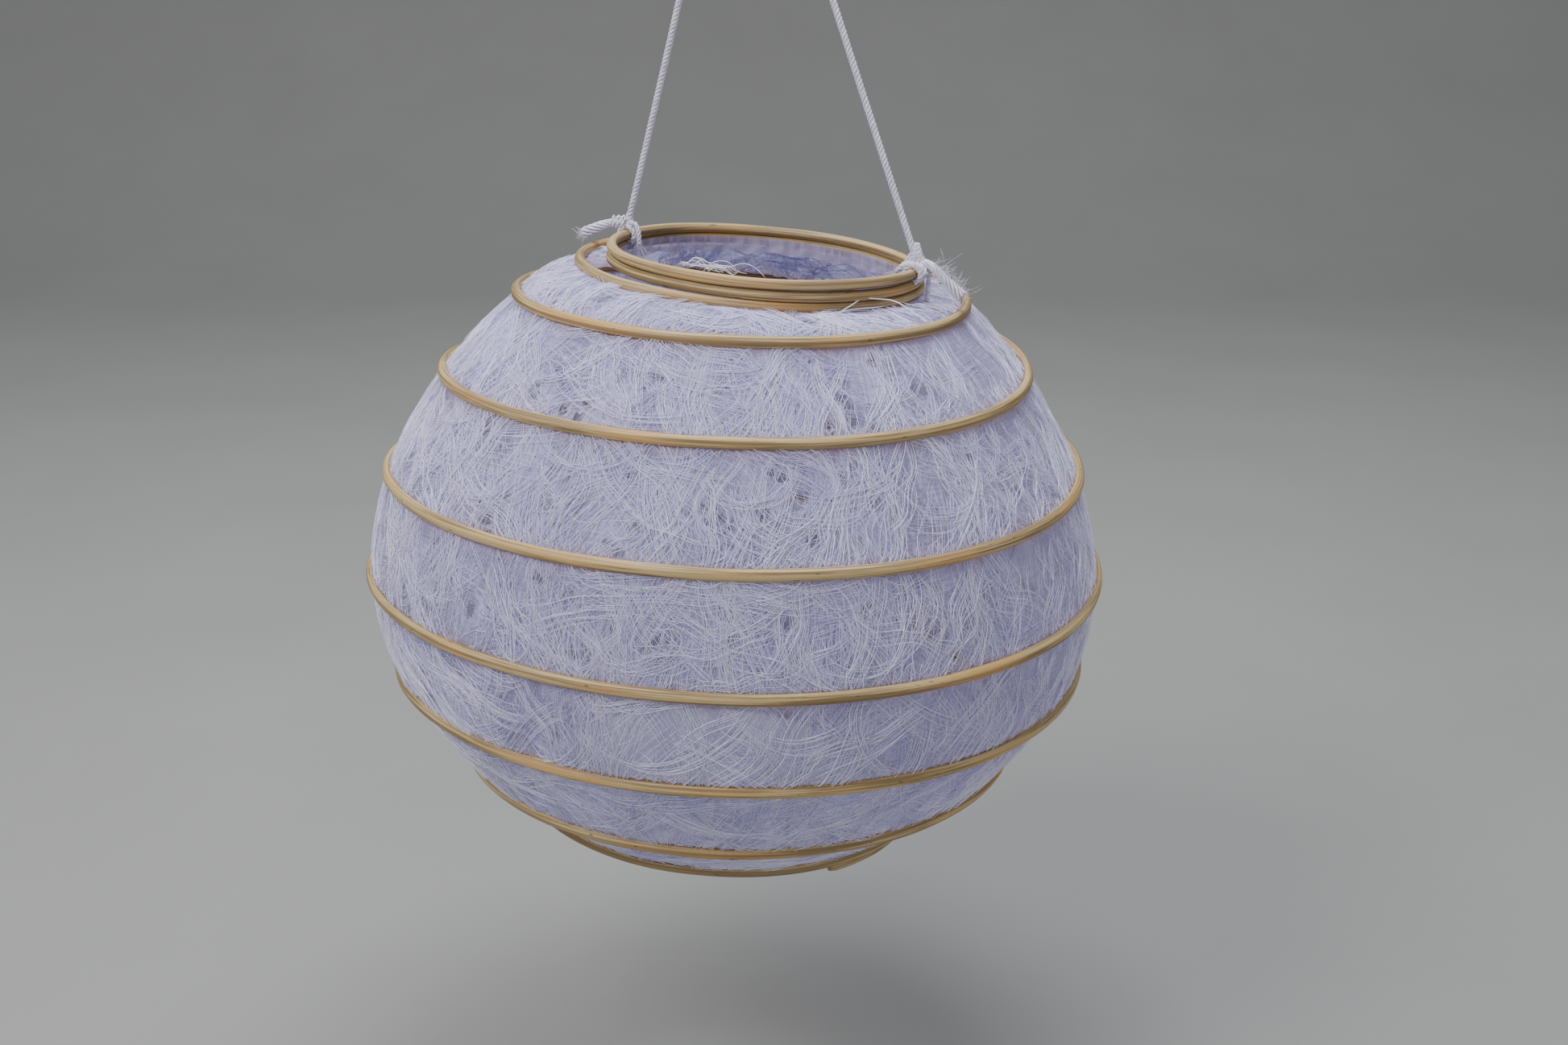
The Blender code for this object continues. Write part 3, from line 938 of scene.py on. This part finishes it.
def add_threads(name, paths, tones, lift, width, holes):
    """Thin three-sided tubes along the paths, in pieces small enough to keep whole."""
    share_over_holes, edge_gap, taper, sides = 0.12, 0.015, 0.75, 3
    turns, shares = part_round_holes(paths[0].copy(), paths[1].copy(), holes)
    crossing = RNG.random(len(turns)) < share_over_holes
    turns[crossing], shares[crossing] = paths[0][crossing], paths[1][crossing]
    order = np.argsort(turns[:, 0])
    turns, shares = turns[order], shares[order]
    count, knots = turns.shape
    turns = np.clip(turns, FIRST_COVER_TURN, FOOT_HOOP_TURN)
    shares = np.clip(shares, edge_gap, 1.0 - edge_gap)
    lifts = lift[0] + (lift[1] - lift[0]) * RNG.random(count)[:, None]
    phase = RNG.uniform(0.0, FULL_PHASE, count)[:, None]
    swing = 1.0 + 0.5 * np.sin(phase + np.linspace(0.0, 5.0, knots)[None, :])
    points, normals = cover_points(turns, shares, lifts * swing)
    thin = np.linspace(-1.0, 1.0, knots)[None, :] ** 4
    radius = width / 2.0 * RNG.uniform(0.7, 1.3, count)[:, None] * (1.0 - taper * thin)
    rings = tube_grid(points, normals, radius, sides)
    follow = fold_share(points)
    surfaces = [tone[0] for tone in tones]
    shade = RNG.choice(len(tones), count, p=[tone[1] for tone in tones])
    faces = (knots - 1) * sides
    per_piece = MOST_TRIANGLES // (2 * faces + 2)
    for number, start in enumerate(range(0, count, per_piece), 1):
        part = slice(start, start + per_piece)
        quads, caps = tube_quads(len(shade[part]), knots, sides)
        slots = np.concatenate([np.repeat(shade[part], faces), np.tile(shade[part], 2)])
        corners = to_world(rings[part].reshape(-1, 3))
        piece = mesh_object(f"{name}_{number}", corners, quads, surfaces, slots, caps)
        blend_with_fold(piece, np.repeat(follow[part].reshape(-1), sides))
        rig.slot(piece, "cover")


def add_cover_threads(holes):
    """All threads of the cover, from the fine ground outward. Each tone comes with its share; the violet and grey
    tones are darker copies of the white thread, painted shade for the threads that lie deeper in the web.
    """
    bright = thread_material("thread_white", colour(0.83, 0.81, 1.0), 0.34)
    # The violet and grey threads are the white silk thread in painted shade, given mostly to the felt and deep
    # threads.
    violet = thread_material("thread_violet", colour(0.57, 0.545, 0.88), 0.45)
    shaded_grey = thread_material("thread_grey", colour(0.44, 0.42, 0.60), 0.5)
    felt_tones = ((bright, 0.12), (violet, 0.5), (shaded_grey, 0.38))
    deep_tones = ((bright, 0.25), (violet, 0.6), (shaded_grey, 0.15))
    web_tones = ((bright, 0.9), (violet, 0.1))
    fine, thin = THREAD_WIDTH * 0.8, THREAD_WIDTH * 0.9
    add_threads("felt_threads", felt_strands(8000), felt_tones, (0.0001, 0.0003), fine, holes)
    add_threads("deep_threads", web_strands(2000), deep_tones, (0.0001, 0.0005), THREAD_WIDTH, holes)
    add_threads("web_threads", web_strands(1700), web_tones, (0.0005, 0.0010), THREAD_WIDTH, holes)
    add_threads("hair_threads", hair_strands(1900), web_tones, (0.0002, 0.0010), THREAD_WIDTH, holes)
    add_threads("edge_threads", edge_strands(7000), web_tones, (0.0002, 0.0008), thin, holes)


# ---------------------------------------------------------------- cord and knots


def smooth_route(points, count):
    """Evenly spaced points on a Catmull-Rom curve through the given points, and its length."""
    fine_steps = 20
    points = [Vector(p) for p in points]
    points = [2 * points[0] - points[1], *points, 2 * points[-1] - points[-2]]
    fine = []
    for a, b, c, d in zip(points, points[1:], points[2:], points[3:]):
        for step in range(fine_steps):
            t = step / fine_steps
            curved = (2 * a - 5 * b + 4 * c - d) * t**2 + (3 * b - a - 3 * c + d) * t**3
            fine.append((2 * b + (c - a) * t + curved) / 2)
    fine.append(points[-2])
    fine = np.array(fine)
    lengths = np.concatenate([[0.0], np.cumsum(np.linalg.norm(np.diff(fine, axis=0), axis=1))])
    wanted = np.linspace(0.0, lengths[-1], count)
    return np.stack([np.interp(wanted, lengths, fine[:, i]) for i in range(3)], axis=-1), float(lengths[-1])


class Yarns:
    """Tubes of yarn, gathered into one mesh."""

    HINT = np.array([0.31, 0.83, 0.47])

    def __init__(self):
        self.points, self.grain, self.quads, self.caps = [], [], [], []
        self.count = 0

    def add_tube(self, path, radius, sides):
        """One tube along path. Its grain starts elsewhere than that of the tube before."""
        path = np.asarray(path, float)
        rings = tube_grid(path, np.broadcast_to(self.HINT, path.shape), radius, sides)
        quads, caps = tube_quads(1, len(path), sides)
        steps = np.linalg.norm(np.diff(path, axis=0), axis=1)
        along = np.concatenate([[0.0], np.cumsum(steps)]) + 0.37 * len(self.points)
        angle = 2.0 * np.pi * np.arange(sides) / sides
        wide = np.broadcast_to(radius, along.shape)[:, None]
        grain = np.broadcast_arrays(along[:, None], wide * np.cos(angle), wide * np.sin(angle))
        self.grain.append(np.stack(grain, axis=-1).reshape(-1, 3))
        self.points.append(rings.reshape(-1, 3))
        self.quads.append(quads + self.count)
        self.caps.extend(caps + self.count)
        self.count += rings.shape[0] * sides

    def add_cord(self, path, diameter=CORD_DIAMETER, pitch=0.0042, flare=1.0, sides=9, plies=3):
        """A cord of yarns twisted together, along evenly spaced points. flare may be one per point."""
        overlap = 1.02
        _, first, second = frames_along(path, np.broadcast_to(self.HINT, path.shape))
        along = np.linalg.norm(path[1] - path[0]) * np.arange(len(path))
        spacing = 1.0 / math.sin(math.pi / plies)
        yarn = diameter / 2.0 / (1.0 + spacing)
        reach = (yarn * spacing * np.broadcast_to(flare, along.shape))[:, None]
        for number in range(plies):
            angle = (2.0 * np.pi * (along / pitch + number / plies))[:, None]
            line = path + reach * (np.cos(angle) * first + np.sin(angle) * second)
            self.add_tube(line, yarn * overlap, sides)

    def add_fray(self, start, direction, count, length, spread, curl=0.5, width=0.00016):
        """Loose fibres that spread from the end of a cord."""
        start, direction = np.array(start), np.array(Vector(direction).normalized())
        for _ in range(count):
            heading = direction + RNG.normal(0.0, spread, 3)
            heading /= np.linalg.norm(heading)
            bend = RNG.normal(0.0, curl, 3)
            reach = length * RNG.uniform(0.45, 1.0)
            part = np.linspace(0.0, 1.0, 7)[:, None]
            begin = start + RNG.normal(0.0, CORD_DIAMETER * 0.28, 3)
            path = begin + reach * (part * heading + part**2 * bend * 0.5)
            self.add_tube(path, width / 2.0 * (1.0 - 0.6 * part[:, 0]), 4)

    def build(self, name, surface):
        """The mesh of all tubes so far."""
        points, quads = np.concatenate(self.points), np.concatenate(self.quads)
        made = mesh_object(name, points, quads, [surface], caps=self.caps)
        add_attribute(made, "grain", np.concatenate(self.grain))
        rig.slot(made, "cord")
        return made


def knot_centre(side):
    """Where the cord's middle line ends in a knot."""
    place = reed_points(np.array(KNOT_TURNS[side])) + np.array([0.0, 0.0, KNOT_RISE])
    return Vector(to_world(place))


def add_hanging_cord(surface):
    """The bail cord. It runs on into both knots, to the line that the lantern rocks about."""
    stops = [knot_centre("left"), *CORD_ROUTE, knot_centre("right")]
    path, length = smooth_route(stops, 740)
    yarns = Yarns()
    yarns.add_cord(path)
    cord = yarns.build("hanging_cord_twist", surface)
    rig.ride(cord, "hanger")
    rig.replaces(cord, "hanging_cord")
    return cord, path, length


def knot_place(side):
    """A function that turns millimetres outward, up and round from a knot's top winding into a point."""
    angle = 2.0 * math.pi * KNOT_TURNS[side]
    outward = Vector((-math.sin(angle), -math.cos(angle), 0.0))
    onward = Vector((-math.cos(angle), math.sin(angle), 0.0))
    middle = Vector(reed_points(np.array(KNOT_TURNS[side])))

    def place(out, up, on=0.0):
        return LANTERN @ (middle + (outward * out + onward * on + Vector((0.0, 0.0, up))) / 1000.0)

    return place


def route_of(place, stops, spacing=0.00045):
    """Evenly spaced points through stops given as millimetres outward, up and round."""
    points = [place(*stop) for stop in stops]
    length = smooth_route(points, 2)[1]
    return smooth_route(points, max(int(length / spacing), 4))[0]


def add_wraps(yarns, place, sides_on):
    """Loops of cord side by side round the top winding."""
    reach = 1000.0 * (REED_DIAMETER + CORD_DIAMETER) / 2.0
    wide, high = reach * 0.8, 1.4
    loop = [(-reach, 0.0), (-wide, high), (0.0, reach), (wide, high), (reach, 0.0)]
    loop += [(wide, -high), (0.0, -reach), (-wide, -high), (-reach, 0.0)]
    for on in sides_on:
        stops = [(out, up, on) for out, up in loop]
        yarns.add_cord(route_of(place, stops), CORD_DIAMETER * 0.92)


def direction_of(place, out, up):
    """The direction of that many millimetres outward and up at a knot."""
    return place(out, up) - place(0.0, 0.0)


def add_left_knot(surface):
    """Two wraps on the reed, three rings round the cord, a thick outer tail and a thin inner end."""
    place = knot_place("left")
    yarns = Yarns()
    add_wraps(yarns, place, (-0.8, 0.9))
    middle, corner = 3.6, 1.0472
    for turn, out in enumerate((0.4, 2.2, 4.0)):
        radius = 2.0 - 0.25 * turn
        ring = []
        for k in range(7):
            up, on = radius * math.cos(k * corner), radius * math.sin(k * corner)
            ring.append((out + 0.2 * k, middle + up, on))
        yarns.add_cord(route_of(place, ring), CORD_DIAMETER * 0.8)
    tail = route_of(place, [(-1.5, 3.6), (3.0, 3.8), (8.0, 2.4, -0.4), (12.0, 0.4, -0.9), (15.5, -1.6, -1.2)])
    flare = 0.8 + 0.8 * smooth(np.linspace(-0.4, 1.0, len(tail)))
    yarns.add_cord(tail, 0.0029, 0.014, flare, 7, 7)
    yarns.add_fray(place(14.8, -1.2, -1.2), direction_of(place, 10.0, -4.0), 90, 0.0036, 0.42)
    end = route_of(place, [(-1.0, 4.4, -0.6), (-3.3, 3.6, -1.0), (-4.6, 0.8, -1.4), (-5.0, -2.6, -1.6)])
    yarns.add_cord(end, CORD_DIAMETER * 0.75)
    yarns.add_fray(place(-5.0, -2.4, -1.6), direction_of(place, -1.0, -5.0), 26, 0.006, 0.25)
    knot = yarns.build("knot_left", surface)
    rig.ride(knot, "mouth")
    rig.replaces(knot, "cord_knot_left")
    return knot


def add_right_knot(surface):
    """Two wraps on the reed with two bars across them, a frayed tail and two thin ends."""
    place = knot_place("right")
    yarns = Yarns()
    add_wraps(yarns, place, (-1.9, 1.9))
    bar = [(-4.2, 0.8, -1.6), (-3.0, 2.5, -2.2), (0.0, 3.1, -2.6), (3.0, 2.5, -2.2), (4.4, 0.4, -1.4)]
    yarns.add_cord(route_of(place, bar), CORD_DIAMETER * 1.05)
    yarns.add_cord(route_of(place, [(out, up, 2.0) for out, up, _ in bar]), CORD_DIAMETER)
    end = route_of(place, [(-2.4, 3.2, -1.0), (-4.4, 1.6, -1.0), (-6.4, -0.6, -1.0)])
    yarns.add_cord(end, CORD_DIAMETER * 0.75)
    yarns.add_fray(place(-6.2, -0.4, -1.0), direction_of(place, -3.0, -3.0), 16, 0.004, 0.3)
    leg = route_of(place, [(2.6, 3.4, -2.2), (4.0, 0.8, -2.6), (4.2, -4.0, -2.8), (4.4, -8.6, -3.0)])
    yarns.add_cord(leg, CORD_DIAMETER * 0.75, 0.0034)
    yarns.add_fray(place(4.4, -8.4, -3.0), direction_of(place, 2.0, -6.0), 14, 0.008, 0.14)
    stops = [(2.0, 3.8, 0.0), (5.5, 3.2, 0.6), (9.5, 0.4, 0.8), (13.5, -2.8, 0.6), (16.5, -5.0, 0.4)]
    tail = route_of(place, stops)
    flare = 1.0 + 0.5 * smooth(np.linspace(-0.3, 1.0, len(tail)))
    yarns.add_cord(tail, 0.0028, 0.014, flare, 7, 7)
    for share in np.linspace(0.25, 1.0, 9):
        spot = tail[int(share * (len(tail) - 1))]
        yarns.add_fray(spot, direction_of(place, 6.0, 2.5), 20, 0.0045, 0.75, 1.1, 0.00012)
    knot = yarns.build("knot_right", surface)
    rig.ride(knot, "mouth")
    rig.replaces(knot, "cord_knot_right")
    return knot


def add_fan(name, side, low, high, half_width, strands_across, surface):
    """The strands that spread from the hanging cord over the windings. They bend as the lantern rocks."""
    place = knot_place(side)
    yarns = Yarns()
    for share in np.linspace(-1.0, 1.0, strands_across):
        near = -1.5 * (1.0 - 0.5 * abs(share))
        for on in (near, -near):
            tip = (0.15 * share, high, 0.1 * on)
            middle = (share * half_width * 0.45, (low + high) / 2, on * 0.8)
            foot = (share * half_width, low, on)
            yarns.add_cord(route_of(place, [tip, middle, foot]), CORD_DIAMETER * 0.62, 0.004)
    fan = yarns.build(name, surface)
    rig.blend(fan, "mouth", "hanger", start=place(0.0, low), end=place(0.0, high))
    return fan


# ---------------------------------------------------------------- loose threads


def add_rim_tuft(surface):
    """A tuft of curled threads that stands up inside the front rim."""
    rim = TOP_HEIGHT + WINDING_STEP * (LAST_STACKED_TURN - 0.07) + REED_RADIUS
    part = np.linspace(0.0, 1.0, 16)
    yarns = Yarns()
    for _ in range(13):
        begin = RNG.uniform(-0.028, -0.014)
        run = RNG.uniform(0.008, 0.017)
        curl = RNG.uniform(0.0002, 0.0009)
        phase = RNG.uniform(0.0, FULL_PHASE)
        side = begin + run * part + curl * np.sin(part * RNG.uniform(5.0, 13.0) + phase)
        inner = OUTLINE[0][1] - REED_RADIUS - 0.0004 - 0.0012 * RNG.random()
        back = 0.0007 * np.sin(part * 5.0 + phase) - np.sqrt(inner**2 - (side - MOUTH_OFFSET) ** 2)
        arch = RNG.uniform(0.0004, 0.0030) * np.sin(np.pi * part ** RNG.uniform(0.5, 1.4))
        rise = rim + 0.0002 + arch + curl * np.cos(part * 9.0 + phase)
        yarns.add_tube(to_world(np.stack([side, back, rise], axis=-1)), 0.00009, 4)
    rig.ride(yarns.build("rim_tuft", surface), "mouth")


def add_rim_loop(surface):
    """One stray thread that arches out of the cover below the front rim."""
    along = np.linspace(0.0, 1.0, 24)
    turns = np.interp(along, [0.0, 0.3, 0.6, 1.0], [1.925, 1.900, 1.872, 1.858])
    shares = np.interp(along, [0.0, 0.3, 0.6, 1.0], [0.22, 0.05, 0.25, 0.92])
    lifts = np.interp(along, [0.0, 0.3, 0.7, 1.0], [0.0012, 0.0042, 0.0036, 0.0012])
    yarns = Yarns()
    yarns.add_tube(to_world(cover_points(turns, shares, lifts)[0]), 0.00017, 5)
    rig.ride(yarns.build("rim_loop", surface), "mouth")


def add_inner_seam(surface):
    """Two drawn bundles of threads on the inner wall, behind the mouth."""
    inward = -0.0018
    part = np.linspace(0.0, 1.0, 30)
    yarns = Yarns()
    for offset in np.linspace(-0.0012, 0.0012, 7):
        turns = 2.466 + offset * 1.5 + 0.068 * part + 0.0004 * np.sin(part * 14.0 + offset * 4000.0)
        yarns.add_tube(to_world(cover_points(turns, part, inward)[0]), 0.00020, 4)
    for offset in np.linspace(-0.0016, 0.0016, 5):
        turns = 2.572 + offset + 0.026 * np.sin(part * 1.6)
        yarns.add_tube(to_world(cover_points(turns, 0.02 + 0.9 * part, inward)[0]), 0.00013, 4)
    seam = yarns.build("inner_seam", surface)
    back = LANTERN.inverted()
    blend_with_fold(seam, [fold_share(np.array(back @ vertex.co)) for vertex in seam.data.vertices])


def main():
    """Builds the scene: the camera and the cord come first."""
    add_camera()
    add_stage()
    cotton = cord_material()
    cord, path, length = add_hanging_cord(cotton)
    right_fan = add_fan("fan_right", "right", 1.9, 9.5, 3.6, 5, cotton)
    left_fan = add_fan("fan_left", "left", 2.4, 7.0, 1.6, 2, cotton)
    knots = [add_left_knot(cotton), add_right_knot(cotton), right_fan, left_fan]
    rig.cord(
        cord,
        exit=path[0],
        length=length,
        diameter=CORD_DIAMETER,
        far_end="object",
        stiffness="limp",
        lay="taut",
        path=path,
        with_pieces=knots,
    )
    reed = add_reed(rattan_material())
    holes = cover_holes()
    gauze = gauze_material()
    add_gauze(gauze, reed, holes, add_facing(gauze))
    add_cover_threads(holes)
    loose = thread_material("loose_thread", colour(0.93, 0.92, 0.97), 0.4)
    add_rim_tuft(loose)
    add_rim_loop(loose)
    add_inner_seam(loose)
    with open("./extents.json", "w") as file:
        json.dump({"cad": [list(c) for c in CAD_BOX], "visual": [list(c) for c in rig.bounds()]}, file)


main()
